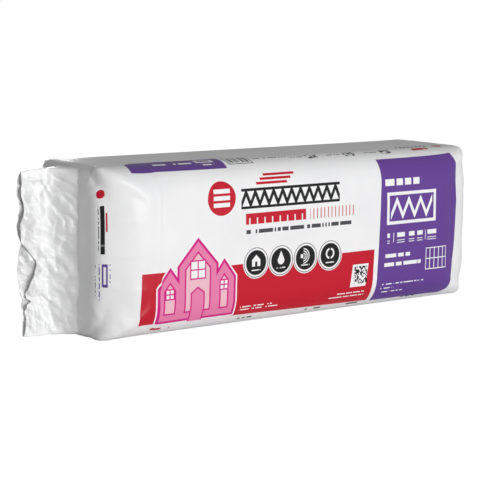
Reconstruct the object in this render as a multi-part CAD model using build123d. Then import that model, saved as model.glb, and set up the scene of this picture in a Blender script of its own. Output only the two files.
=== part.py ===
from build123d import *
import os
from math import atan2, sin, tan

# Bagged pack of mineral wool insulation batts: eight squeezed batts in one film bag.
# +X runs along the pack away from the gathered bag mouth, -Y is the printed front,
# +Z is up, and the origin is the centre of the flat underside. Sizes are in millimetres.

# Batts, cut for studs at 16 in centres
BATT_LENGTH = 1194.0
BATT_WIDTH = 381.0
BATT_LOFT = 88.9  # thickness before packing
BATT_COUNT = 8
PACKED_SHARE = 0.585  # packed thickness as a share of the loft
BATT_GAP = 0.4  # between neighbouring batts

# Film bag round the stack
FILM_WALL = 1.5
FILM_GAP = 0.4  # between the batts and the film
END_SLACK = 17.0  # free film at each end of the stack
BELLY = 4.0  # depth of the film's belly, pressed flat by the floor
BULGE = 6.0  # bow of each side over its middle
EDGE_ROUND = 82.0  # radius of the long edges
TAPER_LENGTH = 115.0  # over which the sides draw in to each end
TAPER_DEPTH = 46.0  # by which they draw in there
TAPER_BEND = 0.6  # share of the taper over which the side bends into it
CORNER_ROUND = 58.0  # radius of the upright edges
END_ROUND = 34.0  # radius of the upper and lower edges of each end
MARGIN = 5.0  # by which the plan and side profiles stand clear of the section's bowed sides

# Gathered mouth of the bag
TAIL_LENGTH = 128.0  # from the flat end patch to the free edge
TAIL_SINK = 8.0  # how far the root starts inside the end patch
TAIL_SHOULDER = 9.0  # drop from the pack's top to the tail's root
TAIL_DROOP = 11.0  # further drop at the free edge
TAIL_CLEARANCE = 3.0  # between the tail and the floor
ROOT_SPREAD = 128.0  # width where the tail leaves the end patch
WELD_SPREAD = 7.0  # thickness of the gathered film at the weld
WELD_OFFSET = 64.0  # from the end patch to the weld
WELD_BAND = 9.0  # length of the weld
ROOT_SHARES = (0.1, 0.7, 0.6)  # distance and width, then distance, of the root's inner poles
MOUTH_SHARES = (0.8, 0.4)  # spread and lean at the mouth's last inner pole
MOUTH_SPREAD = 26.0  # between the two lips at the free edge
MOUTH_LEAN = 12.0  # sideways lean of the free edge towards the back
FOLD_SPREAD = 0.45  # spread at the upper and lower folds, as a share of that between them
PLEAT_COUNT = 7  # half waves from the lower to the upper fold
PLEAT_DEPTH = 11.0  # at the free edge
PLEAT_DEPTH_CHANGE = 0.3  # share of the depth that varies from pleat to pleat
PLEAT_SHIFT = 0.22  # by which crests stray from even places, as a share of a pleat
PLEAT_RHYTHM = (2.4, 1.7)  # steps of the waves that vary place and depth

# Bottom weld at the far end
SEAM_DEPTH = 10.0
SEAM_THICKNESS = 3.0
SEAM_MARGIN = 22.0  # from each end of the seam to the top or the floor
SEAM_ROUND = 8.0

BATT_PACKED = BATT_LOFT * PACKED_SHARE
BATT_PITCH = BATT_PACKED + BATT_GAP
SKIN = FILM_WALL + FILM_GAP
PACK_WIDTH = BATT_WIDTH + 2 * SKIN
PACK_HEIGHT = BATT_COUNT * BATT_PITCH - BATT_GAP + 2 * SKIN
PACK_HALF_LENGTH = BATT_LENGTH / 2 + END_SLACK + FILM_WALL
MID_HEIGHT = (PACK_HEIGHT - BELLY) / 2
HALF_HEIGHT = (PACK_HEIGHT + BELLY) / 2


def slab(low, high):
    """Large block between two heights, for slicing."""
    reach = 4 * PACK_HALF_LENGTH
    block = Box(reach, reach, high - low, align=(Align.CENTER, Align.CENTER, Align.MIN))
    return Pos(0, 0, low) * block


def poles(rows):
    """Rows of (x, y, z) poles as the vectors that a patch takes."""
    return [[Vector(*point) for point in row] for row in rows]


def end_cap(rims):
    """Flat face inside a closed chain of rims, each a row of poles."""
    return Face(Wire([Edge.make_bezier(*[Vector(*point) for point in rim]) for rim in rims]))


def bulged_rectangle(half_width, half_height, bulge, rounding):
    """Rectangle whose sides bow out to their middles and meet in round corners."""
    corner_y = half_width - bulge
    corner_z = half_height - bulge
    upper = Edge.make_three_point_arc((-corner_y, corner_z), (0, half_height), (corner_y, corner_z))
    right = Edge.make_three_point_arc((corner_y, corner_z), (half_width, 0), (corner_y, -corner_z))
    outline = Wire([upper, right, upper.mirror(Plane.XZ), right.mirror(Plane.YZ)])
    return fillet(Face(outline).vertices(), rounding)


def plan_profile(half_length, half_width):
    """Plan of the pack: straight sides that draw in to a rounded end."""
    start = half_length - TAPER_LENGTH
    narrow = half_width - TAPER_DEPTH
    bend_radius = TAPER_BEND * TAPER_LENGTH / tan(atan2(TAPER_DEPTH, TAPER_LENGTH) / 2)
    side = [(start, half_width), (half_length, narrow), (half_length, -narrow), (start, -half_width)]
    outline = Polygon(*side, *[(-x, -y) for x, y in side], align=None)
    shoulders = [v for v in outline.vertices() if abs(abs(v.X) - start) < 1]
    outline = fillet(shoulders, bend_radius)
    corners = [v for v in outline.vertices() if abs(abs(v.X) - half_length) < 1]
    return fillet(corners, CORNER_ROUND)


def puffed_form(half_length, inset):
    """Pillow-like form of the pack, pressed flat underneath by the floor."""
    reach = 2 * PACK_HALF_LENGTH
    half_width = PACK_WIDTH / 2 - inset
    half_height = HALF_HEIGHT - inset
    section = bulged_rectangle(half_width, half_height, BULGE, EDGE_ROUND - inset)
    side = RectangleRounded(2 * (half_length + MARGIN), 2 * (half_height + MARGIN), END_ROUND - inset)
    across = Plane(origin=(0, 0, MID_HEIGHT), x_dir=(0, 1, 0), z_dir=(1, 0, 0))
    along = Plane(origin=(0, 0, MID_HEIGHT), x_dir=(1, 0, 0), z_dir=(0, 1, 0))
    form = extrude(across * section, reach, both=True)
    form &= extrude(plan_profile(half_length, half_width + MARGIN), reach, both=True)
    form &= extrude(along * side, reach, both=True)
    return form & slab(inset, 2 * PACK_HEIGHT)


def pleat_rows():
    """Places across the tail, from fold to fold: share of the height, sideways pleat, spread."""
    place_step, depth_step = PLEAT_RHYTHM
    crests = []
    for count in range(PLEAT_COUNT + 1):
        at_fold = count in (0, PLEAT_COUNT)
        shift = 0 if at_fold else PLEAT_SHIFT * sin(place_step * count)
        depth = PLEAT_DEPTH * (1 - PLEAT_DEPTH_CHANGE * (1 - sin(depth_step * count)))
        crests.append(((count + shift) / PLEAT_COUNT, (-1) ** count * depth, FOLD_SPREAD if at_fold else 1))
    rows = []
    for (low, start, thin), (high, stop, thick) in zip(crests, crests[1:]):
        third = (high - low) / 3
        rising = [(low, start, thin), (low + third, start, thin)]
        rows.append(rising + [(high - third, stop, thick), (high, stop, thick)])
    return rows


def tail_stations(stretch):
    """Poles along one stretch of the tail: distance from the end patch, spread, sideways growth."""
    weld_end = WELD_OFFSET + WELD_BAND
    opening = TAIL_LENGTH - weld_end
    near_share, wide_share, far_share = ROOT_SHARES
    open_share, lean_share = MOUTH_SHARES
    return {
        "root": [
            (-TAIL_SINK, ROOT_SPREAD, 0),
            (WELD_OFFSET * near_share, ROOT_SPREAD * wide_share, 0),
            (WELD_OFFSET * far_share, WELD_SPREAD, 0),
            (WELD_OFFSET, WELD_SPREAD, 0),
        ],
        "weld": [
            (WELD_OFFSET, WELD_SPREAD, 0),
            (weld_end, WELD_SPREAD, 0),
        ],
        "mouth": [
            (weld_end, WELD_SPREAD, 0),
            (weld_end + opening / 3, WELD_SPREAD, 0),
            (weld_end + opening * 2 / 3, MOUTH_SPREAD * open_share, lean_share),
            (TAIL_LENGTH, MOUTH_SPREAD, 1),
        ],
    }[stretch]


def tail_form(stretches, inset):
    """Gathered film over some stretches, drawn inside by the inset."""
    faces = []
    rims = {}

    def point(station, place, side):
        distance, spread, growth = station
        height, swing, share = place
        low = TAIL_CLEARANCE + inset
        high = PACK_HEIGHT - TAIL_SHOULDER - TAIL_DROOP * growth - inset
        y = side * (spread / 2 - inset) * share
        y += growth * (MOUTH_LEAN + swing)
        return (-PACK_HALF_LENGTH - distance, y, low + (high - low) * height)

    for stretch in stretches:
        stations = tail_stations(stretch)
        rims[stretch] = {0: [], -1: []}
        for side in (-1, 1):
            for places in pleat_rows():
                rows = [[point(station, place, side) for place in places] for station in stations]
                faces.append(Face.make_bezier_surface(poles(rows)))
                for end in rims[stretch]:
                    rims[stretch][end].append(rows[end])
        for fold in (pleat_rows()[0][0], pleat_rows()[-1][-1]):
            rows = [[point(station, fold, side) for side in (-1, 1)] for station in stations]
            faces.append(Face.make_bezier_surface(poles(rows)))
            for end in rims[stretch]:
                rims[stretch][end].append(rows[end])
    faces.append(end_cap(rims[stretches[0]][0]))
    faces.append(end_cap(rims[stretches[-1]][-1]))
    return Solid(Shell(faces))


def bottom_seam():
    """Flat weld that closes the bag's far end, with rounded upper and lower ends."""
    strip = Box(2 * SEAM_DEPTH, SEAM_THICKNESS, PACK_HEIGHT - 2 * SEAM_MARGIN)
    strip = fillet(strip.edges().filter_by(Axis.Y), SEAM_ROUND)
    return Pos(PACK_HALF_LENGTH, 0, PACK_HEIGHT / 2) * strip


def film_bag():
    """Closed film skin with its gathered, welded mouth and its bottom seam."""
    tail = tail_form(["root", "weld", "mouth"], 0)
    outside = puffed_form(PACK_HALF_LENGTH, 0) + bottom_seam() + tail
    mouth = tail_form(["mouth"], FILM_WALL)
    root = tail_form(["root"], FILM_WALL)
    cavity = puffed_form(PACK_HALF_LENGTH - FILM_WALL, FILM_WALL)
    return outside - mouth - root - cavity


def batts():
    """The stack of batts, squeezed to the bag's form, from the lowest to the highest."""
    stack = puffed_form(BATT_LENGTH / 2, SKIN)
    for index in range(1, BATT_COUNT):
        low = SKIN + index * BATT_PITCH
        stack -= slab(low - BATT_GAP, low)
    return stack.solids().sort_by(Axis.Z)


nodes = {"film_bag": film_bag()}
for number, batt in enumerate(batts(), start=1):
    nodes[f"batt_{number}"] = batt

os.makedirs("parts", exist_ok=True)
for name, shape in nodes.items():
    export_step(shape, f"parts/{name}.step")
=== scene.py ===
# Bagged pack of mineral wool batts: the film with its print, the gathered mouth and the wool inside.
from math import pi

import bpy
import numpy as np
from mathutils import Matrix, Vector
from mathutils.bvhtree import BVHTree


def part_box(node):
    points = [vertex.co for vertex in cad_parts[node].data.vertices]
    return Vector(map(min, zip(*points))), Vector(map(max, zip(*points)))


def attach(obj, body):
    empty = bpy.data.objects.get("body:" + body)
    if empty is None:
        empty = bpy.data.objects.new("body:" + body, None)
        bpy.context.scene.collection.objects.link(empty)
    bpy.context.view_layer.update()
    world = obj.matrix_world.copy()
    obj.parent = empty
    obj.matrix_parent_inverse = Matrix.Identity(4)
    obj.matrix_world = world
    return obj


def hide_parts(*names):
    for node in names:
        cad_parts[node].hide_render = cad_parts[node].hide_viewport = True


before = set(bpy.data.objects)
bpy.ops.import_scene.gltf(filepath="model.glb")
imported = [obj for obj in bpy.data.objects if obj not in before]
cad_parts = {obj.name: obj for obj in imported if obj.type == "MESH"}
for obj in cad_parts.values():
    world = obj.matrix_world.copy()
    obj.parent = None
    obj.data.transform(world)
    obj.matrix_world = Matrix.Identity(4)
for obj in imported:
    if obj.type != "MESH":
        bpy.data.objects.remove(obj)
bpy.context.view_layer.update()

INCH = 0.0254
MM = 0.001

# The pack's form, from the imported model
BAG_LOW, BAG_HIGH = [np.array(corner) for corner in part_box("film_bag")]
HALF_WIDTH = BAG_HIGH[1]
TOP = BAG_HIGH[2]
SEAM_DEPTH = 10 * MM
BODY_END = BAG_HIGH[0] - SEAM_DEPTH
TAIL_LENGTH = -BODY_END - BAG_LOW[0]
BELLY = 4 * MM
MID_HEIGHT = (TOP - BELLY) / 2
HALF_HEIGHT = (TOP + BELLY) / 2


# Curves and smooth random fields

LATTICE = 512  # random values along each side of a field before it repeats
FOLD_WANDER = 0.45  # by which folds between facets stray, as a share of a facet
FOLD_WAVES = 1.3  # waves of that straying to each facet
CREASE_END = 0.35  # height at the ends of a crease, as a share of that at its middle
CREASE_TRIM = 0.02  # share of a crease at each end that keeps that height
CREASE_POWER = 1.5  # over 1, flanks that steepen towards the ridge


def signed_power(values, power):
    return np.sign(values) * np.abs(values) ** power


def fade(share):
    """Ease from 0 to 1 with a level start and end."""
    return share * share * (3 - 2 * share)


def smooth_step(values, start, end):
    return fade(np.clip((values - start) / (end - start), 0, 1))


def resample(points, count):
    """Points spread evenly along a polyline, and its length."""
    steps = np.linalg.norm(np.diff(points, axis=0), axis=1)
    along = np.concatenate([[0], np.cumsum(steps)])
    places = np.linspace(0, along[-1], count)
    spread = [np.interp(places, along, points[:, axis]) for axis in range(points.shape[1])]
    return np.stack(spread, axis=1), along[-1]


def smooth_noise(a, b, seed, period=LATTICE):
    """Smooth noise between -1 and 1, with cells one unit wide, which repeats over b after a period."""
    lattice = np.random.default_rng(seed).uniform(-1, 1, (LATTICE, period))
    row, column = np.floor(a).astype(int), np.floor(b).astype(int)
    p, q = fade(a - row), fade(b - column)

    def corner(i, j):
        return lattice[(row + i) % LATTICE, (column + j) % period]

    low = corner(0, 0) * (1 - p) + corner(1, 0) * p
    high = corner(0, 1) * (1 - p) + corner(1, 1) * p
    return low * (1 - q) + high * q


def facets(a, b, seed):
    """Crumpled heights between -1 and 1: flat facets that meet in sharp, wandering folds."""
    lattice = np.random.default_rng(seed).uniform(-1, 1, (LATTICE, LATTICE))
    bent_a = a + FOLD_WANDER * smooth_noise(a * FOLD_WAVES, b * FOLD_WAVES, seed + 100)
    bent_b = b + FOLD_WANDER * smooth_noise(a * FOLD_WAVES, b * FOLD_WAVES, seed + 200)
    row, column = np.floor(bent_a).astype(int), np.floor(bent_b).astype(int)
    p, q = bent_a - row, bent_b - column

    def corner(i, j):
        return lattice[(row + i) % LATTICE, (column + j) % LATTICE]

    first, last = corner(0, 0), corner(1, 1)
    lower = first + p * (corner(1, 0) - first) + q * (last - corner(1, 0))
    upper = first + q * (corner(0, 1) - first) + p * (last - corner(0, 1))
    return np.where(p > q, lower, upper)


def segment_distance(a, b, start, end):
    """Distance from points (a, b) to a segment, and the place along it between 0 and 1."""
    run = np.array(end, float) - np.array(start, float)
    part = ((a - start[0]) * run[0] + (b - start[1]) * run[1]) / (run @ run)
    inside = np.clip(part, 0, 1)
    return np.hypot(a - start[0] - inside * run[0], b - start[1] - inside * run[1]), inside


def creases(a, b, lines):
    """Sum of folds along segments; each line is its two ends, its width and its height in mm."""
    total = np.zeros(np.broadcast(a, b).shape)
    for start, end, width, height in lines:
        distance, part = segment_distance(a, b, start, end)
        ease = CREASE_END + (1 - CREASE_END) * np.sin(pi * np.clip(part, CREASE_TRIM, 1 - CREASE_TRIM))
        total += height * ease * np.maximum(1 - distance / width, 0) ** CREASE_POWER
    return total


# Body of the bag

SECTION_POWER = 4.6  # squareness of the section
PLAN_POWER = 6.9  # squareness of the plan
SECTION_STEPS = 4000  # steps of the section's curve, before its points are spread evenly
PLAN_STEPS = 6000  # and of the plan's
END_ROUND = 32 * MM  # rounding of each end's upper and lower edges
ROOT_HOLE = 50 * MM  # half width of the flat patch that the tail hides
END_PATCH = 3 * MM  # half width of the flat patch at the far end
RING_STEP = 5.5 * MM  # from ring to ring along the film
ROUND_COUNT = 288  # points of a ring
CLEAR_OF_BATTS = 2.2 * MM
BATT_REACH = 30 * MM  # how far off the film a batt is looked for

# Gathered end: distance from the pack's middle and half width, in inches, over a bend, a slant and a corner
GATHERED_PLAN = [(18.0, 7.575), (19.6, 7.54), (20.3, 7.44), (20.9, 7.26), (21.6, 6.93), (22.4, 6.50),
                 (23.1, 6.08), (23.6, 5.68), (23.95, 5.22), (24.15, 4.6), (24.23, 3.6), (24.232, 1.9)]
GATHERED_POINTS = 400
GATHERED_SMOOTHING = 60

# Waves of the film: length along the pack in metres, count round it, seed, height in mm
BODY_WAVES = [(0.19, 8, 1, 1.1), (0.10, 15, 2, 0.55), (0.16, 46, 3, 0.22)]
END_WAVES = [(0.05, 24, 5, 0.8), (0.022, 60, 6, 0.35)]
END_RIDGES = (0.09, 17, 4, 1.3)
NEAR_ENDS = (0.36, 0.68)  # metres from the middle over which the ends' waves grow

# Folds of the film: ends as inches along and round the bag, width in inches, height in mm
BODY_CREASES = [
    ((-22.6, 0.4), (-19.4, 3.0), 1.1, 3.0),
    ((-23.6, 2.4), (-20.2, 0.2), 0.8, -2.2),
    ((-25.5, 15.7), (-23.4, 17.3), 0.35, 1.6),
    ((-24.6, 15.4), (-22.4, 17.1), 0.35, -1.4),
    ((-23.5, 15.2), (-21.4, 16.9), 0.4, 1.3),
    ((-25.8, 3.6), (-23.2, 1.2), 0.6, 1.6),
    ((-19.0, 15.1), (-12.0, 16.0), 0.8, -1.2),
    ((-21.5, 12.5), (-20.3, 3.5), 1.2, -1.3),
    ((-15.5, 15.6), (-14.5, 3.2), 1.6, -1.0),
    ((-2.0, 15.8), (-3.5, 11.0), 1.2, 0.8),
    ((12.5, 16.4), (17.5, 15.2), 0.9, -1.2),
    ((20.2, 15.4), (23.0, 13.2), 0.8, 2.0),
    ((20.6, 1.0), (23.2, 3.4), 0.9, 2.2),
    ((21.5, 4.5), (22.2, 12.5), 1.0, -1.6),
    ((23.6, 3.2), (26.3, 7.6), 0.5, 2.2),
    ((23.6, 13.0), (26.3, 9.4), 0.5, 2.0),
    ((24.3, 1.2), (28.4, 5.2), 0.5, -2.0),
    ((24.3, 15.0), (28.4, 11.4), 0.5, -1.8),
    ((25.2, 8.2), (29.6, 8.6), 0.45, 1.6),
]


def section_outline():
    """Unit section with evenly spread points, from the back's middle over the bottom to the front."""
    angles = np.linspace(0, 2 * pi, SECTION_STEPS + 1)
    y = HALF_WIDTH * signed_power(np.cos(angles), 2 / SECTION_POWER)
    z = -HALF_HEIGHT * signed_power(np.sin(angles), 2 / SECTION_POWER)
    points, length = resample(np.stack([y, z], axis=1), ROUND_COUNT + 1)
    return points / np.array([HALF_WIDTH, HALF_HEIGHT]), length


def gathered_plan():
    """Plan of the gathered end in metres, from the patch behind the tail inwards, with soft bends."""
    plan, _ = resample(np.array(GATHERED_PLAN[::-1]) * INCH, GATHERED_POINTS)
    for _ in range(GATHERED_SMOOTHING):
        plan[1:-1] = (plan[:-2] + plan[1:-1] * 2 + plan[2:]) / 4
    return plan[plan[:, 1] > ROOT_HOLE] * np.array([-1, 1])


def ring_profile():
    """Place, half width, end rounding and distance along the film of each ring."""
    angles = np.linspace(-pi / 2, pi / 2, PLAN_STEPS + 1)
    x = BODY_END * signed_power(np.sin(angles), 2 / PLAN_POWER)
    width = HALF_WIDTH * np.abs(np.cos(angles)) ** (2 / PLAN_POWER)
    rest = (x > -GATHERED_PLAN[0][0] * INCH) & ((x < 0) | (width > END_PATCH))
    line = np.concatenate([gathered_plan(), np.stack([x[rest], width[rest]], axis=1)])
    count = int(np.linalg.norm(np.diff(line, axis=0), axis=1).sum() / RING_STEP)
    line, length = resample(line, count)
    along = np.linspace(0, length, count)
    along -= np.interp(0, line[:, 0], along)
    over = np.clip(np.abs(line[:, 0]) - (BODY_END - END_ROUND), 0, END_ROUND)
    drop = END_ROUND - np.sqrt(np.maximum(END_ROUND**2 - over**2, 0))
    return line[:, 0], line[:, 1], drop, along


def outward(points):
    """Unit normals of a closed grid of points, pointing out of the bag."""
    along = np.gradient(points, axis=0)
    around = np.roll(points, -1, axis=1) - np.roll(points, 1, axis=1)
    normal = np.cross(along, around)
    normal /= np.maximum(np.linalg.norm(normal, axis=-1, keepdims=True), 1e-12)
    middle = np.array([0, 0, MID_HEIGHT])
    facing = np.sign(((points - middle) * normal).sum(axis=-1, keepdims=True).mean())
    return normal * facing


def body_relief(along, turn, film):
    """Height of the film's waves and folds over the body, in metres."""

    def wave(length, count, seed, height):
        return height * smooth_noise(along / length, turn * count, seed, count)

    length, count, seed, height = END_RIDGES
    ridges = height * np.maximum(1 - 2 * np.abs(wave(length, count, seed, 1)), 0) ** 3
    near_end = smooth_step(np.abs(along), *NEAR_ENDS)
    relief = sum(wave(*values) for values in BODY_WAVES)
    relief += near_end * (ridges + sum(wave(*values) for values in END_WAVES))
    relief += creases(film[..., 0] / INCH, film[..., 1] / INCH, BODY_CREASES)
    return relief * MM


def batt_tree():
    """All batts as one search tree for rays."""
    corners = []
    faces = []
    for name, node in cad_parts.items():
        if name.startswith("batt_"):
            first = len(corners)
            corners += [vertex.co.copy() for vertex in node.data.vertices]
            faces += [[first + index for index in polygon.vertices] for polygon in node.data.polygons]
    return BVHTree.FromPolygons(corners, faces)


def clear_of_batts(points, normals):
    """Move points out along their normals until they stand clear of the batts."""
    tree = batt_tree()
    bare, away = points.reshape(-1, 3), normals.reshape(-1, 3)
    need = np.zeros(len(bare))
    for index, (point, direction) in enumerate(zip(bare, away)):
        hit = tree.ray_cast(Vector(point + direction * BATT_REACH), Vector(-direction), 2 * BATT_REACH)[0]
        if hit is not None:
            need[index] = max(0, np.dot(np.array(hit) - point, direction) + CLEAR_OF_BATTS)
    need = need.reshape(points.shape[:2])
    for axis in (0, 1):
        need = np.maximum(need, np.maximum(np.roll(need, 1, axis), np.roll(need, -1, axis)))
    return points + normals * need[..., None]


def mesh_object(name, vertices, faces, uv=None):
    """Smooth-shaded mesh, with the film's unrolled coordinates where they are given."""
    mesh = bpy.data.meshes.new(name)
    mesh.from_pydata([tuple(v) for v in vertices], [], faces)
    piece = bpy.data.objects.new(name, mesh)
    bpy.context.collection.objects.link(piece)
    if uv is not None:
        mesh.uv_layers.new(name="film").data.foreach_set("uv", np.concatenate(uv).ravel())
    mesh.polygons.foreach_set("use_smooth", [True] * len(mesh.polygons))
    mesh.update()
    return piece


def build_body():
    """Rings of film round the pack, closed by a flat patch at each end."""
    outline, around = section_outline()
    x, width, drop, along = ring_profile()
    rings, count = len(x), ROUND_COUNT
    turn = np.repeat(np.linspace(0, 1, count + 1)[None], rings, axis=0)
    along_film = np.repeat(along[:, None], count + 1, axis=1)
    film = np.stack([along_film, (turn - 0.5) * around + MID_HEIGHT], axis=-1)
    points = np.stack([
        np.repeat(x[:, None], count + 1, axis=1),
        width[:, None] * outline[None, :, 0],
        MID_HEIGHT + (HALF_HEIGHT - drop)[:, None] * outline[None, :, 1],
    ], axis=-1)
    normals = outward(points[:, :count])
    relief = body_relief(film[:, :count, 0], turn[:, :count], film[:, :count])
    points = clear_of_batts(points[:, :count] + normals * relief[..., None], normals)
    points[..., 2] = np.maximum(points[..., 2], 0)
    faces = []
    uv = []
    for i in range(rings - 1):
        for j in range(count):
            k = (j + 1) % count
            faces.append((i * count + j, (i + 1) * count + j, (i + 1) * count + k, i * count + k))
            uv.append([film[i, j], film[i + 1, j], film[i + 1, j + 1], film[i, j + 1]])
    faces.append(tuple(range(count)))
    uv.append([film[0, j] for j in range(count)])
    faces.append(tuple((rings - 1) * count + j for j in reversed(range(count))))
    uv.append([film[-1, j] for j in reversed(range(count))])
    return mesh_object("bag_body", points.reshape(-1, 3), faces, uv)


# Gathered mouth

TAIL_SINK = 8 * MM  # how far the root starts inside the body
ROOT_SPREAD = 145 * MM  # between the layers at the root
ROOT_UNEVEN = 0.15  # share of that spread which varies
ROOT_FACETS = 11  # variations over the height
ROOT_SEED = 51
WELD_SPREAD = 7 * MM
WELD_OFFSET = 66 * MM  # from the end of the pack to the weld
PINCH_SHARE = 0.8  # of the way to the weld, over which the root closes
PINCH_POWER = 1.35
MOUTH_SPREAD = 26 * MM  # between the lips
MOUTH_POWER = 1.4
MOUTH_LEAN = 12 * MM  # of the lips towards the back
MOUTH_LIMIT = 1.2  # of the opening beyond the tail's nominal length
TAIL_SHOULDER = 9 * MM  # drop from the pack's top to the tail
TAIL_DROOP = 6 * MM  # further drop at the lips
TAIL_CLEARANCE = 2 * MM  # between the tail and the floor
FOLD_SPREAD = 0.45  # spread at the upper and lower folds, as a share of that between them
FOLD_HEIGHT = 0.07  # share of the height over which the spread narrows to a fold
RIPPLE = 2.5 * MM  # of the upper and lower folds
RIPPLE_LENGTH = 11 * MM
RIPPLE_SHARES = (0.8, 0.6)  # of it at the lower and the upper fold
LIP_THICKNESS = 0.9 * MM
LINING_START = 0.56  # share of the tail's length where the lips part
LINING_LIMIT = 0.6  # share of the way to the middle that a lining may take
LINING_TRIM = 0.98  # share of the half height beyond which it is drawn in
LEAST_HEIGHT = 0.4 * MM  # over the floor
TAIL_ACROSS = 250
TAIL_ALONG = 96

# Over the height, in mm: length of each lip from the end of the pack, and how wide the mouth stands open
FRONT_LIP = [(0, 114), (28, 111), (60, 112), (82, 106), (90, 95), (99, 108), (112, 109), (129, 103),
             (147, 95), (159, 88), (172, 84), (192, 84), (204, 91), (217, 101), (234, 114), (243, 121),
             (262, 123), (282, 121), (310, 117), (338, 115), (366, 119), (395, 118), (425, 118)]
BACK_LIP = [(0, 114), (40, 113), (75, 112), (90, 112), (104, 117), (150, 119), (210, 117), (258, 117),
            (300, 120), (340, 119), (385, 123), (408, 119), (425, 113)]
MOUTH_OPEN = [(0, 0.05), (80, 0.06), (110, 0.5), (150, 0.65), (205, 0.65), (250, 0.4), (300, 0.3),
              (425, 0.2)]

# Crumples of a layer: length and height of the facets in mm, shift along and up, depth in mm
CRUMPLES = [(36, 42, 3, 0, 12.0), (19, 23, 0, 5, 9.5), (9, 10, 0, 0, 2.8)]
BILLOWS = (34, 30, 3.0)  # length and height in mm, depth in mm
SWAY = (46, 52, 3.2)  # of both layers together, in the same values
MOUTH_SWAY = (40, 30, 2.6)
EDGE_WEAR = (9, 11, 0.8)  # along the pack, in the same values
SWAY_SEEDS = (31, 33)
FRONT_SEED = 40
BACK_SEED = 60
FRONT_SHARE = 0.75  # of the random crumples, kept beside the front's own folds
LAYER_LIFT = 1.5  # mm by which each layer stands out everywhere
CRUMPLE_LIFT = 2.0  # mm by which crumples stand out on average
CALM_SHARE = 0.25  # of the crumples, left at the upper and lower folds
TIGHT_SHARE = 0.7  # of the crumples, left where the layers meet
LOOSE_SPREAD = 30 * MM  # spread from which crumples are full
FREE_LENGTH = 22 * MM  # from the end of the pack, over which crumples grow
LEAST_HALF = 1.2 * MM  # from the middle to each layer

# Folds of the front layer: ends as mm from the end of the pack and mm of height, width and height in mm
FRONT_CREASES = [
    ((24, 264), (-34, 260), 42, 12.0),
    ((34, 178), (-36, 176), 24, 9.0),
    ((60, 190), (58, 216), 20, 8.0),
    ((92, 352), (96, 300), 24, 9.0),
    ((92, 282), (94, 250), 20, 8.0),
    ((52, 340), (50, 310), 16, 8.0),
    ((26, 330), (-20, 336), 22, 8.0),
    ((98, 126), (70, 118), 20, 9.0),
    ((40, 118), (-6, 112), 22, 8.0),
    ((70, 68), (20, 50), 24, 7.0),
    ((96, 384), (70, 358), 8, -8.0),
    ((50, 382), (70, 358), 8, -8.0),
    ((98, 388), (48, 386), 7, 6.5),
    ((78, 380), (68, 364), 18, -14.0),
    ((70, 358), (68, 284), 8, -6.0),
    ((60, 352), (58, 292), 9, 3.0),
    ((68, 284), (66, 250), 9, -3.5),
    ((36, 300), (38, 236), 7, -5.0),
    ((38, 236), (36, 160), 9, -7.0),
    ((52, 232), (50, 166), 10, 3.5),
    ((74, 143), (40, 141), 8, -10.0),
    ((40, 141), (-10, 146), 9, -9.0),
    ((-10, 146), (-40, 138), 8, -5.0),
    ((60, 156), (-8, 158), 8, 4.0),
    ((30, 202), (-36, 202), 10, -9.0),
    ((24, 258), (-30, 256), 8, 6.0),
    ((24, 346), (8, 320), 6, -7.0),
    ((8, 320), (-6, 296), 6, -8.0),
    ((-6, 296), (-36, 268), 6, -8.0),
    ((20, 352), (2, 330), 6, 6.0),
    ((10, 300), (-34, 282), 6, 6.5),
    ((26, 300), (20, 262), 6, -5.0),
    ((110, 96), (66, 100), 8, -8.0),
    ((66, 100), (30, 62), 7, -4.5),
    ((106, 62), (60, 30), 6, -3.5),
    ((92, 88), (84, 10), 5, -5.0),
    ((80, 92), (72, 14), 5, 4.5),
    ((70, 88), (58, 8), 5, -5.0),
    ((102, 84), (98, 12), 5, 4.2),
    ((60, 80), (44, 10), 6, 3.8),
    ((50, 74), (28, 8), 7, -4.5),
    ((24, 60), (2, 6), 7, -4.8),
    ((12, 110), (-6, 40), 8, 4.5),
    ((110, 336), (80, 318), 8, -3.4),
    ((112, 300), (78, 296), 9, -3.0),
    ((40, 396), (8, 372), 7, -6.5),
    ((30, 402), (-10, 388), 6, 4.8),
    ((44, 372), (20, 350), 6, 4.0),
    ((4, 404), (-14, 340), 7, -6.5),
]


def over_height(share_up, table):
    """Value of a table of (height in mm, value) at each share of the pack's height."""
    return np.interp(share_up * TOP / MM, *np.array(table).T)


def tail_spread(share_up, away, opening):
    """Distance between the layers before they crumple."""
    pinch = np.clip(1 - (away + TAIL_SINK) / (WELD_OFFSET * PINCH_SHARE + TAIL_SINK), 0, 1) ** PINCH_POWER
    uneven = facets(share_up * ROOT_FACETS + 0 * away, 0.5 + 0 * away, ROOT_SEED)
    root = ROOT_SPREAD * (1 + ROOT_UNEVEN * uneven)
    mouth = MOUTH_SPREAD * over_height(share_up, MOUTH_OPEN)
    return WELD_SPREAD + (root - WELD_SPREAD) * pinch + (mouth - WELD_SPREAD) * opening**MOUTH_POWER


def tail_relief(side, a, b):
    """Crumples of one layer in mm, over places in mm along the tail and up it."""
    seed = FRONT_SEED if side < 0 else BACK_SEED
    relief = 0
    for number, (length, height, shift, shift_up, depth) in enumerate(CRUMPLES):
        relief = relief + depth * facets(a / length + shift, b / height + shift_up, seed + number)
    length, height, depth = BILLOWS
    relief = relief + depth * np.maximum(smooth_noise(a / length, b / height, seed + len(CRUMPLES)), 0)
    if side < 0:
        relief = relief * FRONT_SHARE + creases(a, b, FRONT_CREASES)
    return relief


def tail_middle(a, b, opening, free):
    """Sideways place of the middle between the layers, in metres."""
    length, height, depth = SWAY
    sway = depth * smooth_noise(a / length, b / height, SWAY_SEEDS[0])
    length, height, depth = MOUTH_SWAY
    sway = sway + depth * opening * facets(a / length, b / height, SWAY_SEEDS[1])
    return MOUTH_LEAN * np.minimum(opening, 1) ** 2 + MM * free * sway


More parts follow.
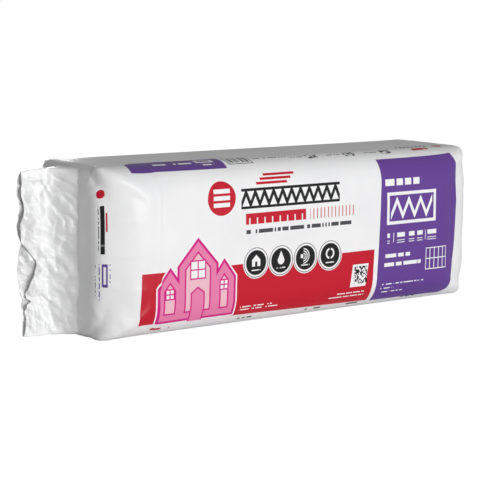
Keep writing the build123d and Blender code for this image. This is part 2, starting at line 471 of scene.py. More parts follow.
def tail_layer(side, lip):
    """One layer of the gathered film, from the lower to the upper fold and from the root to its lip."""
    share_up = np.linspace(0, 1, TAIL_ACROSS + 1)[:, None]
    share_out = np.linspace(0, 1, TAIL_ALONG + 1)[None, :]
    away = -TAIL_SINK + (over_height(share_up, lip) * MM + TAIL_SINK) * share_out
    opening = np.clip((away - WELD_OFFSET) / (TAIL_LENGTH - WELD_OFFSET), 0, MOUTH_LIMIT)
    edge = np.clip(np.minimum(share_up, 1 - share_up) / FOLD_HEIGHT, 0, 1)
    fold = FOLD_SPREAD + (1 - FOLD_SPREAD) * np.sqrt(1 - (1 - edge) ** 2)
    free = (CALM_SHARE + (1 - CALM_SHARE) * edge) * smooth_step(away, -TAIL_SINK, FREE_LENGTH)
    ripple = RIPPLE * np.sin(away / RIPPLE_LENGTH) * opening
    low = TAIL_CLEARANCE + np.abs(ripple) * RIPPLE_SHARES[0]
    high = TOP - TAIL_SHOULDER - TAIL_DROOP * opening + ripple * RIPPLE_SHARES[1]
    z = low + (high - low) * share_up
    a, b = away / MM, z / MM
    spread = tail_spread(share_up, away, opening)
    loose = TIGHT_SHARE + (1 - TIGHT_SHARE) * np.clip(spread / LOOSE_SPREAD, 0, 1)
    half = spread / 2 * fold + MM * (LAYER_LIFT + free * (tail_relief(side, a, b) + CRUMPLE_LIFT) * loose)
    y = tail_middle(a, b, opening, free) + side * np.maximum(half, LEAST_HALF)
    length, height, depth = EDGE_WEAR
    wear_seed = (FRONT_SEED if side < 0 else BACK_SEED) + len(CRUMPLES) + 1
    x = -BODY_END - away - depth * MM * free * smooth_noise(a / length, b / height, wear_seed)
    return np.stack([x, y, z], axis=-1)


def tail_lining(layer, middle):
    """Inner side of one layer, from where the lips part."""
    start = int(TAIL_ALONG * LINING_START)
    inward = (middle - layer)[:, start:, 1]
    lining = layer[:, start:].copy()
    lining[..., 1] += np.sign(inward) * np.minimum(LIP_THICKNESS, np.abs(inward) * LINING_LIMIT)
    up = np.linspace(-1, 1, TAIL_ACROSS + 1)[:, None]
    lining[..., 2] -= LIP_THICKNESS * np.sign(up) * (np.abs(up) > LINING_TRIM)
    return lining


def strip_faces(first, second, closed):
    """Quads between two rows of vertex numbers."""
    count = len(first)
    pairs = [(i, (i + 1) % count) for i in range(count if closed else count - 1)]
    return [(first[i], first[j], second[j], second[i]) for i, j in pairs]


def build_tail():
    """Both layers as one closed skin that turns in at the lips and is lined down to the weld."""
    front, back = tail_layer(-1, FRONT_LIP), tail_layer(1, BACK_LIP)
    middle = (front + back) / 2
    linings = [tail_lining(layer, middle) for layer in (front, back)]
    outer = np.concatenate([front, back[::-1]], axis=0)
    inner = np.concatenate([linings[0], linings[1][::-1]], axis=0)
    rows, columns = outer.shape[:2]
    lining_columns = inner.shape[1]
    outer_index = np.arange(rows * columns).reshape(rows, columns)
    inner_index = rows * columns + np.arange(rows * lining_columns).reshape(rows, lining_columns)
    faces = []
    for j in range(columns - 1):
        faces += strip_faces(outer_index[:, j], outer_index[:, j + 1], True)
    for j in range(lining_columns - 1):
        faces += strip_faces(inner_index[:, j + 1], inner_index[:, j], True)
    faces += strip_faces(outer_index[:, -1], inner_index[:, -1], True)
    half = rows // 2
    for index, turned in ((outer_index[:, 0], True), (inner_index[:, 0], False)):
        lower, upper = index[:half], index[:half - 1:-1]
        faces += strip_faces(upper, lower, False) if turned else strip_faces(lower, upper, False)
    vertices = np.concatenate([outer.reshape(-1, 3), inner.reshape(-1, 3)])
    vertices[:, 2] = np.maximum(vertices[:, 2], LEAST_HEIGHT)
    faces = [tuple(int(i) for i in face) for face in faces]
    return mesh_object("bag_tail", vertices, faces)


# Bottom weld

SEAM_MARGIN = 22 * MM  # from each end of the seam to the top or the floor
SEAM_HALF = 0.8 * MM  # half its thickness
SEAM_SINK = 4 * MM  # how far it starts inside the body
SEAM_ROUND = 12 * MM  # height over which its free edge is trimmed at each end
SEAM_TRIM = 0.35  # share of the depth left there
SEAM_WAVE = (20 * MM, 35 * MM, 2.6 * MM)  # length out and up, depth
SEAM_RIPPLE = (3.2 * MM, 0.7 * MM)  # length up, depth
SEAM_SEED = 71
SEAM_ROWS = 150
SEAM_COLUMNS = 8


def build_seam():
    """Flat, slightly wavy weld that closes the far end."""
    up = np.linspace(SEAM_MARGIN, TOP - SEAM_MARGIN, SEAM_ROWS)[:, None]
    out = np.linspace(-SEAM_SINK, SEAM_DEPTH, SEAM_COLUMNS)[None, :]
    wave_out, wave_up, wave_depth = SEAM_WAVE
    ripple_up, ripple_depth = SEAM_RIPPLE
    wave = wave_depth * smooth_noise(0 * up + out / wave_out, up / wave_up, SEAM_SEED)
    wave = np.clip(out / SEAM_DEPTH, 0, 1) * (wave + ripple_depth * np.sin(up / ripple_up))
    trim = np.clip(np.minimum(up - SEAM_MARGIN, TOP - SEAM_MARGIN - up) / SEAM_ROUND, 0, 1)
    reach = np.where(out > 0, out * (SEAM_TRIM + (1 - SEAM_TRIM) * np.sqrt(1 - (1 - trim) ** 2)), out)
    layers = []
    for side in (-1, 1):
        layers.append(np.stack([BODY_END + reach, wave + side * SEAM_HALF, up + 0 * out], axis=-1))
    loop = np.concatenate([layers[0], layers[1][:, ::-1]], axis=1)
    rows, columns = loop.shape[:2]
    index = np.arange(rows * columns).reshape(rows, columns)
    faces = []
    for i in range(rows - 1):
        faces += strip_faces(index[i + 1], index[i], True)
    faces += [tuple(index[0][::-1]), tuple(index[-1])]
    faces = [tuple(int(i) for i in face) for face in faces]
    return mesh_object("bag_seam", loop.reshape(-1, 3), faces)


# Drawing on the film

class Field:
    """A number in a material's node tree that takes plain arithmetic."""

    def __init__(self, tree, socket):
        self.tree = tree
        self.socket = socket

    def math(self, operation, *others, clamp=False):
        node = self.tree.nodes.new("ShaderNodeMath")
        node.operation = operation
        node.use_clamp = clamp
        for slot, value in enumerate((self, *others)):
            if isinstance(value, Field):
                self.tree.links.new(value.socket, node.inputs[slot])
            else:
                node.inputs[slot].default_value = value
        return Field(self.tree, node.outputs[0])

    def __add__(self, other):
        return self.math("ADD", other)

    def __sub__(self, other):
        return self.math("SUBTRACT", other)

    def __mul__(self, other):
        return self.math("MULTIPLY", other)

    def away_from(self, place):
        return self.math("SUBTRACT", place).math("ABSOLUTE")

    def below(self, limit):
        """Positive under the limit, negative over it."""
        return self.math("MULTIPLY_ADD", -1, limit)

    def both(self, other):
        return self.math("MINIMUM", other)

    def either(self, other):
        return self.math("MAXIMUM", other)

    def without(self, other):
        return self.both(other * -1)

    def mask(self, softness=0.03):
        """1 where the form is positive, 0 where it is negative."""
        return self.math("MULTIPLY_ADD", 1 / softness, 0.5, clamp=True)


class Film:
    """Unrolled film of the bag in inches: u runs along the pack, v up the front and over the top."""

    def __init__(self, tree, colour):
        self.tree = tree
        self.colour = colour
        layer = tree.nodes.new("ShaderNodeUVMap")
        layer.uv_map = "film"
        scaled = tree.nodes.new("ShaderNodeVectorMath")
        scaled.operation = "SCALE"
        scaled.inputs["Scale"].default_value = 1 / INCH
        tree.links.new(layer.outputs[0], scaled.inputs[0])
        parts = tree.nodes.new("ShaderNodeSeparateXYZ")
        tree.links.new(scaled.outputs[0], parts.inputs[0])
        self.place = scaled.outputs[0]
        self.u = Field(tree, parts.outputs[0])
        self.v = Field(tree, parts.outputs[1])

    def box(self, left, right, low, high, u=None):
        across = (u or self.u).away_from((left + right) / 2).below((right - left) / 2)
        return across.both(self.v.away_from((low + high) / 2).below((high - low) / 2))

    def disc(self, u, v, radius):
        node = self.tree.nodes.new("ShaderNodeVectorMath")
        node.operation = "DISTANCE"
        node.inputs[1].default_value = (u, v, 0)
        self.tree.links.new(self.place, node.inputs[0])
        return Field(self.tree, node.outputs["Value"]).below(radius)

    def ring(self, u, v, radius, width):
        return self.disc(u, v, radius).math("ABSOLUTE").below(width / 2)

    def gable(self, u, half_width, eaves, apex):
        """House front under a ridge."""
        slope = (apex - eaves) / half_width
        side = self.u.away_from(u)
        roof = (side * -slope - self.v + apex) * (1 / (1 + slope**2) ** 0.5)
        return side.below(half_width).both(roof)

    def zigzag(self, left, right, middle, height, period, width):
        """Slanting strokes to and fro, the drafting sign for insulation."""
        slope = 4 * height / period
        wave = (self.u - left).math("PINGPONG", period / 2) * slope - height
        stroke = (self.v - middle - wave) * (1 / (1 + slope**2) ** 0.5)
        band = stroke.math("ABSOLUTE").below(width / 2)
        return band.both(self.box(left, right, middle - height - width, middle + height + width))

    def bars(self, left, period, width):
        """Upright bars: positive within each, from a bar centred on the left."""
        return (self.u - left).math("PINGPONG", period / 2).below(width / 2)

    def random(self, cell):
        """Random number between 0 and 1 for each whole number."""
        node = self.tree.nodes.new("ShaderNodeTexWhiteNoise")
        node.noise_dimensions = "1D"
        self.tree.links.new(cell.socket, node.inputs["W"])
        return Field(self.tree, node.outputs["Value"])

    def runs(self, step, share, seed, value=None):
        """Dashes of random length: positive in some steps, negative in the others."""
        cell = ((value or self.u) * (1 / step)).math("FLOOR") + seed
        return self.random(cell) * -1 + share

    def marks(self, left, right, low, high, step=0.22, share=0.78, seed=1):
        """A line of fine print as plain dashes."""
        return self.box(left, right, low, high).both(self.runs(step, share, seed))

    def standing_marks(self, left, right, low, high, step, share, seed):
        """The same, upright."""
        return self.box(left, right, low, high).both(self.runs(step, share, seed, self.v))

    def modules(self, left, right, low, high, step, seed):
        """Square of random filled and empty cells."""
        column = (self.u * (1 / step)).math("FLOOR")
        row = (self.v * (1 / step)).math("FLOOR")
        cells = self.random(row * 57.0 + column + seed) - 0.5
        return self.box(left, right, low, high).both(cells)

    def paint(self, form, colour):
        mix = self.tree.nodes.new("ShaderNodeMix")
        mix.data_type = "RGBA"
        self.tree.links.new(form.mask().socket, mix.inputs["Factor"])
        sockets = [socket for socket in mix.inputs if socket.type == "RGBA"]
        self.tree.links.new(self.colour, sockets[0])
        sockets[1].default_value = (*colour, 1)
        self.colour = [socket for socket in mix.outputs if socket.type == "RGBA"][0]


# Print

# Values are inches on the unrolled film. Boxes are left, right, low, high; marks add step, share, seed.

WHITE = (0.90, 0.90, 0.905)
RED = (0.56, 0.010, 0.028)
PURPLE = (0.135, 0.056, 0.30)
PURPLE_INK = (0.10, 0.05, 0.28)
BLACK = (0.012, 0.012, 0.013)
GREY = (0.07, 0.07, 0.075)
MAGENTA = (0.66, 0.010, 0.24)
PINK = (0.80, 0.22, 0.42)
LIGHT_PINK = (0.86, 0.52, 0.60)

BAND = (-20.48, 8.84, 0.0, 6.43)
BAND_LEAN = 0.03  # inches to the right for each inch up
BAND_FALL = 0.0236  # of its lower edge, for each inch to the right
BAND_EDGE = 0.909  # height of that edge at the pack's middle
PANEL = (0, 30, 0.5, 16.05)
PANEL_LEFT = 9.4
PANEL_LEAN = 0.035
PANEL_RIGHT = 21.41
PANEL_BOW = 0.0135  # inches for each square inch away from the middle
PANEL_MIDDLE = 9.7
PANEL_CORNER = (18.9, 2.4, 1.95)  # centre and radius


def print_front(film):
    """Red band along the bottom and purple panel at the right."""
    u, v = film.u, film.v
    film.paint(film.box(*BAND, u - v * BAND_LEAN).both(v + u * BAND_FALL - BAND_EDGE), RED)
    right_edge = v.away_from(PANEL_MIDDLE).math("POWER", 2) * -PANEL_BOW + PANEL_RIGHT - u
    left_edge = u - v * PANEL_LEAN - PANEL_LEFT
    corner_u, corner_v, _ = PANEL_CORNER
    corner = film.disc(*PANEL_CORNER).either(u * -1 + corner_u).either(v - corner_v)
    film.paint(right_edge.both(left_edge).both(film.box(*PANEL)).both(corner), PURPLE)


# Centre, half width, eaves and ridge of each house, and centre and half size of each window
HOUSES = [(-13.75, 2.6, 6.9, 9.75), (-17.0, 1.75, 4.9, 7.1), (-10.6, 1.6, 5.4, 7.5)]
HOUSE_BASE = 1.15
HOUSE_RIMS = [(0, WHITE), (0.16, MAGENTA), (0.42, PINK), (1.05, MAGENTA), (1.22, LIGHT_PINK)]
WINDOWS = [(-13.75, 6.35, 0.95), (-17.0, 4.2, 0.55), (-10.6, 4.6, 0.55)]
WINDOW_RIM = 0.14
WINDOW_BAR = 0.14
DOOR = (-13.75, 0.85, 4.1, 4.7)
DOOR_RIM = 0.16


def print_houses(film):
    """Row of nested gables in pinks, over the left end of the band."""
    ground = film.v - HOUSE_BASE
    row = film.gable(*HOUSES[0])
    for house in HOUSES[1:]:
        row = row.either(film.gable(*house))
    row = row.both(ground)
    for inset, colour in HOUSE_RIMS:
        film.paint(row - inset, colour)
    for u, v, size in WINDOWS:
        window = film.box(u - size, u + size, v - size, v + size)
        pane = window - WINDOW_RIM
        cross = film.u.away_from(u).below(WINDOW_BAR / 2).either(film.v.away_from(v).below(WINDOW_BAR / 2))
        film.paint(window, MAGENTA)
        film.paint(pane, WHITE)
        film.paint(pane.both(cross), MAGENTA)
    door = film.gable(*DOOR)
    film.paint(door.both(ground), MAGENTA)
    film.paint((door - DOOR_RIM).both(ground), PINK)


HEADING_DISC = (-10.92, 13.1, 1.68)
SLABS = [(-11.9, -9.94, low, low + 0.42) for low in (12.25, 12.92, 13.59)]
STEPPED_BAR = (-6.6, -2.7, 14.2, 14.46)
STEPPED_BAR_COUNT = 3
BAR_STEP = (0.55, 0.42)  # to the right and up
SIGN = (-8.55, 4.12, 12.9, 0.62, 1.15, 0.34)  # ends, middle, half height, period and stroke
SIGN_LINES = [(-8.55, 4.12, low, low + 0.27) for low in (11.88, 13.62)]
BLOCKS = (-8.02, -0.35, 10.32, 11.42)
BLOCK_JOINTS = (0.96, 0.80)  # from joint to joint, and the width of a block
BLOCK_BACK = 10.95  # height over which no joint shows
STROKES = (0.2, 6.2, 10.32, 11.42)
STROKE_BARS = (0.48, 0.11)
HEADING_MARKS = (-7.95, 5.72, 9.38, 9.78, 0.2, 0.74, 5)


def print_heading(film):
    """Marks over the band: disc of slabs, stepped bars, insulation sign, blocks, strokes and fine print."""
    disc = film.disc(*HEADING_DISC)
    film.paint(disc, RED)
    for slab in SLABS:
        film.paint(film.box(*slab).both(disc), WHITE)
    left, right, low, high = STEPPED_BAR
    for index in range(STEPPED_BAR_COUNT):
        over, up = index * BAR_STEP[0], index * BAR_STEP[1]
        film.paint(film.box(left + over, right + over, low + up, high + up), RED)
    film.paint(film.zigzag(*SIGN), BLACK)
    for line in SIGN_LINES:
        film.paint(film.box(*line), BLACK)
    blocks = film.bars(BLOCKS[0], *BLOCK_JOINTS).either(film.v - BLOCK_BACK)
    film.paint(film.box(*BLOCKS).both(blocks), RED)
    film.paint(film.box(*STROKES).both(film.bars(STROKES[0], *STROKE_BARS)), RED)
    film.paint(film.marks(*HEADING_MARKS), GREY)


BADGES = [(-6.68, 6.42), (-3.52, 6.38), (-0.35, 6.38), (2.91, 6.36)]
BADGE_RADIUS = 1.62
BADGE_RIMS = [(0, WHITE), (0.10, BLACK), (0.17, WHITE), (0.36, BLACK)]
SIGN_RISE = 0.18  # of the sound's and the loop's middle over the badge's
SOUND_RADII = (0.28, 0.52, 0.76)


def print_badges(film):
    """Four round badges with plain signs: a house, a drop, sound and a loop."""
    for index, (u, v) in enumerate(BADGES):
        disc = film.disc(u, v, BADGE_RADIUS)
        for inset, colour in BADGE_RIMS:
            film.paint(disc - inset, colour)
        film.paint(film.marks(u - 0.55, u + 0.55, v - 0.82, v - 0.70, 0.12, 0.8, index), WHITE)
    u, v = BADGES[0]
    film.paint(film.gable(u, 0.52, v + 0.28, v + 0.80).both(film.v - v + 0.38), WHITE)
    film.paint(film.box(u - 0.14, u + 0.14, v - 0.4, v + 0.1), BLACK)
    u, v = BADGES[1]
    side = film.u.away_from(u)
    tip = (side * -2.1 - film.v + v + 0.98).both(film.v - v).both(side.below(0.42))
    film.paint(film.disc(u, v, 0.42).either(tip * 0.4), WHITE)
    u, v = BADGES[2]
    film.paint(film.box(u - 0.62, u - 0.3, v - 0.02, v + 0.38), WHITE)
    for radius in SOUND_RADII:
        film.paint(film.ring(u - 0.3, v + SIGN_RISE, radius, 0.11).both(film.u - u + 0.26), WHITE)
    u, v = BADGES[3]
    gap = film.box(u - 0.1, u + 0.1, v - 1, v + 1)
    film.paint(film.ring(u, v + SIGN_RISE, 0.48, 0.2).without(gap), WHITE)


CODE_FIELD = (5.82, 7.98, 2.66, 5.03)
CODE_LEAN = (0.14, 0.42)  # inches to the right for each inch up, and shift to the left
CODE = (6.32, 8.10, 2.95, 4.8, 0.145, 9)
BAND_MARKS = [(-8.4, -4.4, 1.97, 2), (-8.5, -3.6, 1.66, 3), (4.2, 7.9, 2.0, 4), (3.1, 7.95, 1.62, 6)]


def print_small(film):
    """Square of modules and fine print on the band."""
    lean, shift = CODE_LEAN
    film.paint(film.box(*CODE_FIELD, film.u - film.v * lean + shift), WHITE)
    film.paint(film.modules(*CODE), BLACK)
    for left, right, low, seed in BAND_MARKS:
        film.paint(film.marks(left, right, low, low + 0.12, 0.16, 0.7, seed), WHITE)


PANEL_HEADING = (10.4, 15.6, 13.05, 13.75, 0.3, 0.72, 11)
BATT_SIGN = (10.7, 17.75, 8.9, 12.35)
BATT_STROKE = 0.34
BATT_ZIGZAG = (11.25, 17.2, 10.62, 0.86, 1.7, BATT_STROKE)
DASHES = [(10.8, 11.15), (12.2, 13.3), (13.9, 14.7), (15.1, 15.9), (16.6, 17.9)]
DASH_ROWS = [(7.5, 7.98), (7.12, 7.2), (6.88, 6.96)]
RULES = [(11.66, 11.74, 6.95, 8.0), (16.26, 16.34, 6.95, 8.0)]
PANEL_LINES = [(10.6, 14.15, 5.35, 5.75, 0.27, 0.8, 13), (10.5, 15.75, 4.4, 4.8, 0.27, 0.8, 14)]
WALL = (16.45, 19.6, 3.6, 6.0)
WALL_STROKE = 0.1
WALL_RIM = 0.09
STUD_STEP = 0.63
WALL_MIDDLE = 4.8
PANEL_MARKS = [(10.2, 16.3, 2.45, 15), (10.2, 12.1, 2.0, 16), (10.3, 13.5, 1.56, 17)]


def print_panel(film):
    """White marks on the right panel: a framed insulation sign, rows of dashes and a stud wall."""
    film.paint(film.marks(*PANEL_HEADING), WHITE)
    batt = film.box(*BATT_SIGN)
    film.paint(batt.without(batt - BATT_STROKE), WHITE)
    film.paint(film.zigzag(*BATT_ZIGZAG), WHITE)
    for left, right in DASHES:
        for low, high in DASH_ROWS:
            film.paint(film.box(left, right, low, high), WHITE)
    for rule in RULES:
        film.paint(film.box(*rule), WHITE)
    for line in PANEL_LINES:
        film.paint(film.marks(*line), WHITE)
    wall = film.box(*WALL)
    rim = (wall - WALL_RIM) * -1
    rail = film.v.away_from(WALL_MIDDLE).below(WALL_STROKE / 2)
    studs = film.bars(WALL[0], STUD_STEP, WALL_STROKE)
    film.paint(wall.both(studs.either(rim).either(rail)), WHITE)
    for left, right, low, seed in PANEL_MARKS:
        film.paint(film.marks(left, right, low, low + 0.12, 0.17, 0.7, seed), WHITE)


TOP_PANEL = (-22.6, -11.3, 16.2, 18.9)
TOP_PANEL_LEAN = 0.12
TOP_PANEL_CORNER = (-18.2, 16.2, 2.9)
TOP_PANEL_MARKS = (-17.6, -12.9, 17.3, 17.62, 0.3, 0.7, 21)
TOP_SIGN = (-12.3, -10.2, 17.4, 18.3)
TOP_SIGN_HOLE = (-12.0, -10.5, 17.65, 18.05)
TOP_SIGN_MARKS = (-11.9, -10.3, 16.85, 17.05, 0.2, 0.8, 22)
BAR_LABEL = (-8.75, -5.75, 16.72, 18.5)
BAR_LABEL_RIM = 0.1
BAR_LABEL_MARGIN = 0.3
BAR_LABEL_RUNS = (0.11, 0.55, 23)
TOP_MARKS = (-5.3, -1.0, 17.55, 17.72, 0.2, 0.75, 24)
TOP_SQUARES = (1.4, 6.4, 11.6)
TOP_ZIGZAG = (15.1, 19.7, 18.75, 0.3, 0.6, 0.2)
TOP_BLOCKS = (16.3, 18.7, 17.15, 17.75, 0.4, 0.8, 25)
TOP_DISC = (20.9, 18.2, 0.62)
BOTTOM_RED_MARKS = (-18.8, -16.4, 0.45, 0.8, 0.3, 0.7, 26)
BOTTOM_MARKS = (-8.4, 0.6, 6.2, 14.0)


def print_top(film):
    """Panel, signs and small squares along the upper front edge, and marks along the lower one."""
    panel = film.box(*TOP_PANEL, film.u - film.v * TOP_PANEL_LEAN)
    corner = film.disc(*TOP_PANEL_CORNER).either(film.u - TOP_PANEL_CORNER[0])
    film.paint(panel.both(corner), PURPLE)
    film.paint(film.marks(*TOP_PANEL_MARKS), WHITE)
    film.paint(film.box(*TOP_SIGN), WHITE)
    film.paint(film.box(*TOP_SIGN_HOLE), PURPLE)
    film.paint(film.marks(*TOP_SIGN_MARKS), WHITE)
    label = film.box(*BAR_LABEL)
    film.paint(label.without(label - BAR_LABEL_RIM), BLACK)
    film.paint((label - BAR_LABEL_MARGIN).both(film.runs(*BAR_LABEL_RUNS)), BLACK)
    film.paint(film.marks(*TOP_MARKS), GREY)
    for left in TOP_SQUARES:
        film.paint(film.modules(left, left + 1.6, 16.9, 17.9, 0.2, left), GREY)
        film.paint(film.marks(left - 2.3, left - 0.4, 17.3, 17.45, 0.2, 0.7, left), GREY)
    film.paint(film.zigzag(*TOP_ZIGZAG), BLACK)
    film.paint(film.marks(*TOP_BLOCKS), RED)
    film.paint(film.disc(*TOP_DISC), RED)
    film.paint(film.marks(*BOTTOM_RED_MARKS), RED)
    for left in BOTTOM_MARKS:
        film.paint(film.marks(left, left + 2.1, 0.35, 0.62, 0.3, 0.7, left), GREY)


END_DISC = (-24.13, 14.25, 0.42)
END_DISC_BLOCK = (-24.5, -23.76, 13.95, 14.55)
END_BAR = (-23.76, -23.6, 10.6, 12.4)
END_FRAME = (-24.16, -23.6, 5.25, 7.5)
END_FRAME_HOLE = (-24.0, -23.76, 5.53, 7.23)
END_MARKS = [
    (BLACK, (-24.28, -23.86, 8.45, 13.1, 0.2, 0.86, 38)),
    (GREY, (-24.5, -24.42, 8.8, 12.9, 0.16, 0.7, 32)),
    (PURPLE_INK, (-23.42, -23.34, 5.7, 7.5, 0.16, 0.7, 33)),
    (PURPLE_INK, (-24.46, -24.36, 3.9, 7.5, 0.2, 0.6, 34)),
    (GREY, (-24.86, -24.79, 4.2, 7.5, 0.16, 0.6, 35)),
]


def print_end(film):
    """Small upright copies of the marks near the gathered end."""
    film.paint(film.disc(*END_DISC).either(film.box(*END_DISC_BLOCK)), RED)
    film.paint(film.box(*END_BAR), RED)
    film.paint(film.box(*END_FRAME).without(film.box(*END_FRAME_HOLE)), PURPLE_INK)
    for colour, line in END_MARKS:
        film.paint(film.standing_marks(*line), colour)


PRINTS = (print_front, print_houses, print_heading, print_badges,
          print_small, print_panel, print_top, print_end)


# Materials

# Films: shaded and full white, gloss, and slack as the swirl, strength and depth of its bumps
PRINTED = {"shade": (0.845, 0.85, 0.86), "white": WHITE, "roughness": 0.34, "specular": 0.28,
           "swirl": 0.6, "strength": 0.12, "depth": 0.002}
BARE = {"shade": (0.91, 0.915, 0.92), "white": (0.965, 0.965, 0.97), "roughness": 0.27, "specular": 0.5,
        "swirl": 1.6, "strength": 0.35, "depth": 0.004}
WOOL_DARK = (0.16, 0.13, 0.085)
WOOL_LIGHT = (0.42, 0.37, 0.26)
WOOL_STRETCH = (90, 90, 700)  # fibres lie flat in the batts


def new_material(name):
    """Material with its node tree and its surface shader."""
    material = bpy.data.materials.new(name)
    material.use_nodes = True
    return material, material.node_tree, material.node_tree.nodes["Principled BSDF"]


def add_noise(tree, place, scale, detail, swirl=0.0):
    node = tree.nodes.new("ShaderNodeTexNoise")
    node.inputs["Scale"].default_value = scale
    node.inputs["Detail"].default_value = detail
    node.inputs["Distortion"].default_value = swirl
    tree.links.new(place, node.inputs["Vector"])
    return node.outputs[0]


def add_ramp(tree, value, low, low_colour, high, high_colour):
    """Colour that runs from one to the other between two values."""
    node = tree.nodes.new("ShaderNodeValToRGB")
    first, last = node.color_ramp.elements
    first.position = low
    first.color = (*low_colour, 1)
    last.position = high
    last.color = (*high_colour, 1)
    tree.links.new(value, node.inputs[0])
    return node.outputs[0]


def add_bump(tree, shader, height, strength, depth):
    node = tree.nodes.new("ShaderNodeBump")
    node.inputs["Strength"].default_value = strength
    node.inputs["Distance"].default_value = depth
    tree.links.new(height, node.inputs["Height"])
    tree.links.new(node.outputs[0], shader.inputs["Normal"])


def film_material(name, look, prints=()):
    """Glossy white film with fine slack and its prints."""
    material, tree, shader = new_material(name)
    place = tree.nodes.new("ShaderNodeTexCoord").outputs["Object"]
    clouds = add_noise(tree, place, 5.0, 3.0)
    colour = add_ramp(tree, clouds, 0.3, look["shade"], 0.6, look["white"])
    if prints:
        film = Film(tree, colour)
        for draw in prints:
            draw(film)
        colour = film.colour
    tree.links.new(colour, shader.inputs["Base Color"])
    shader.inputs["Roughness"].default_value = look["roughness"]
    shader.inputs["Specular IOR Level"].default_value = look["specular"]
    slack = add_noise(tree, place, 34.0, 4.0, look["swirl"])
    add_bump(tree, shader, slack, look["strength"], look["depth"])
    return material


def wool_material():
    """Mineral wool: brownish grey fibres in lumps and streaks."""
    material, tree, shader = new_material("mineral_wool")
    place = tree.nodes.new("ShaderNodeTexCoord").outputs["Object"]
    stretch = tree.nodes.new("ShaderNodeMapping")
    stretch.inputs["Scale"].default_value = WOOL_STRETCH
    tree.links.new(place, stretch.inputs["Vector"])
    lumps = Field(tree, add_noise(tree, place, 26.0, 8.0))
    fibres = Field(tree, add_noise(tree, stretch.outputs[0], 1.0, 6.0))
    blend = (lumps * 0.5 + fibres * 0.5).socket
    colour = add_ramp(tree, blend, 0.35, WOOL_DARK, 0.65, WOOL_LIGHT)
    tree.links.new(colour, shader.inputs["Base Color"])
    shader.inputs["Roughness"].default_value = 0.95
    add_bump(tree, shader, blend, 0.7, 0.004)
    return material


# Stage

CAMERA_FOCUS = 1574.81  # in pixels of a frame 480 pixels wide
FRAME_WIDTH = 480
SENSOR = 36.0
CAMERA_PITCH = 0.146655  # downwards, in radians
CAMERA_YAW = 0.930791  # from +X, in radians
CAMERA_ROLL = 0.0097035  # in radians
CAMERA_DISTANCE = 166.942 * INCH
CAMERA_SLIDE = -2.472629 * INCH  # to the right
CAMERA_RISE = -0.773107 * INCH
CAMERA_TARGET = np.array([0, 0, 8.0 * INCH])

# Lamps: name, place, size and power
LAMPS = [("key", (0.1, -5.9, 1.0), 3.4, 278), ("back", (1.5, 5.8, 0.5), 2.4, 175)]
LAMP_TARGET = (0, 0, 0.2)
WORLD_LEVEL = 0.27  # light of the white world on the pack
FLOOR_REACH = 12.0
FLOOR_DROP = 0.5 * MM  # under the pack
FLOOR_WHITE = 0.8
FLOOR_GLOW = 1.08  # for the camera alone
FLOOR_GLOW_SHARE = 0.9  # which leaves a soft shadow


def add_camera():
    forward = np.array([np.cos(CAMERA_YAW) * np.cos(CAMERA_PITCH),
                        np.sin(CAMERA_YAW) * np.cos(CAMERA_PITCH),
                        -np.sin(CAMERA_PITCH)])
    level = np.cross(forward, [0, 0, 1])
    level /= np.linalg.norm(level)
    upright = np.cross(level, forward)
    right = level * np.cos(CAMERA_ROLL) + upright * np.sin(CAMERA_ROLL)
    up = upright * np.cos(CAMERA_ROLL) - level * np.sin(CAMERA_ROLL)
    place = CAMERA_TARGET - forward * CAMERA_DISTANCE + right * CAMERA_SLIDE + up * CAMERA_RISE
    camera = bpy.data.objects.new("camera", bpy.data.cameras.new("camera"))
    bpy.context.collection.objects.link(camera)
    axes = Matrix([list(row) for row in np.stack([right, up, -forward], axis=1)])
    camera.matrix_world = Matrix.Translation(Vector(place)) @ axes.to_4x4()
    camera.data.sensor_width = SENSOR
    camera.data.lens = CAMERA_FOCUS / FRAME_WIDTH * SENSOR
    bpy.context.scene.camera = camera


def add_lamp(name, place, size, power):
    lamp = bpy.data.lights.new(name, "AREA")
    lamp.shape = "DISK"
    lamp.size = size
    lamp.energy = power
    piece = bpy.data.objects.new(name, lamp)
    piece.location = place
    direction = Vector(LAMP_TARGET) - Vector(place)
    piece.rotation_euler = direction.to_track_quat("-Z", "Y").to_euler()
    bpy.context.collection.objects.link(piece)


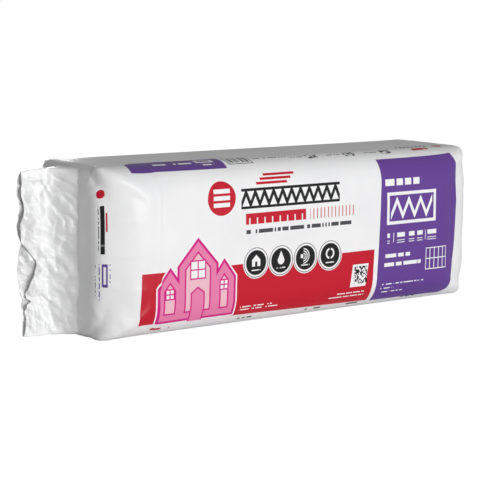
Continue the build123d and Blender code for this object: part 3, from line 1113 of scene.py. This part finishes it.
def white_world():
    """World that the camera sees white, and that lights the pack softly."""
    world = bpy.data.worlds.new("studio")
    bpy.context.scene.world = world
    world.use_nodes = True
    nodes, links = world.node_tree.nodes, world.node_tree.links
    background = nodes["Background"]
    background.inputs["Color"].default_value = (1, 1, 1, 1)
    path = nodes.new("ShaderNodeLightPath")
    level = nodes.new("ShaderNodeMapRange")
    level.inputs["To Min"].default_value = WORLD_LEVEL
    level.inputs["To Max"].default_value = 1.0
    links.new(path.outputs["Is Camera Ray"], level.inputs["Value"])
    links.new(level.outputs[0], background.inputs["Strength"])


def white_floor():
    """Floor that the camera sees almost white, with the pack's soft shadow."""
    reach = FLOOR_REACH
    corners = [(-reach, -reach, 0), (reach, -reach, 0), (reach, reach, 0), (-reach, reach, 0)]
    floor = mesh_object("floor", corners, [(0, 1, 2, 3)])
    floor.location.z = -FLOOR_DROP
    material = bpy.data.materials.new("floor_white")
    material.use_nodes = True
    nodes, links = material.node_tree.nodes, material.node_tree.links
    nodes.remove(nodes["Principled BSDF"])
    diffuse = nodes.new("ShaderNodeBsdfDiffuse")
    diffuse.inputs["Color"].default_value = (FLOOR_WHITE, FLOOR_WHITE, FLOOR_WHITE, 1)
    glow = nodes.new("ShaderNodeEmission")
    glow.inputs["Strength"].default_value = FLOOR_GLOW
    path = nodes.new("ShaderNodeLightPath")
    scaled = nodes.new("ShaderNodeMath")
    scaled.operation = "MULTIPLY"
    scaled.inputs[1].default_value = FLOOR_GLOW_SHARE
    links.new(path.outputs["Is Camera Ray"], scaled.inputs[0])
    mix = nodes.new("ShaderNodeMixShader")
    links.new(scaled.outputs[0], mix.inputs["Fac"])
    links.new(diffuse.outputs[0], mix.inputs[1])
    links.new(glow.outputs[0], mix.inputs[2])
    links.new(mix.outputs[0], nodes["Material Output"].inputs["Surface"])
    floor.data.materials.append(material)


add_camera()
white_world()
white_floor()
for values in LAMPS:
    add_lamp(*values)
bpy.context.scene.view_settings.view_transform = "Standard"

printed, bare = film_material("film_printed", PRINTED, PRINTS), film_material("film_bare", BARE)
for piece, material in ((build_body(), printed), (build_tail(), bare), (build_seam(), bare)):
    piece.data.materials.append(material)
    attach(piece, "root")
    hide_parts("film_bag")

wool = wool_material()
for name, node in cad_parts.items():
    if name.startswith("batt_"):
        node.data.materials.clear()
        node.data.materials.append(wool)
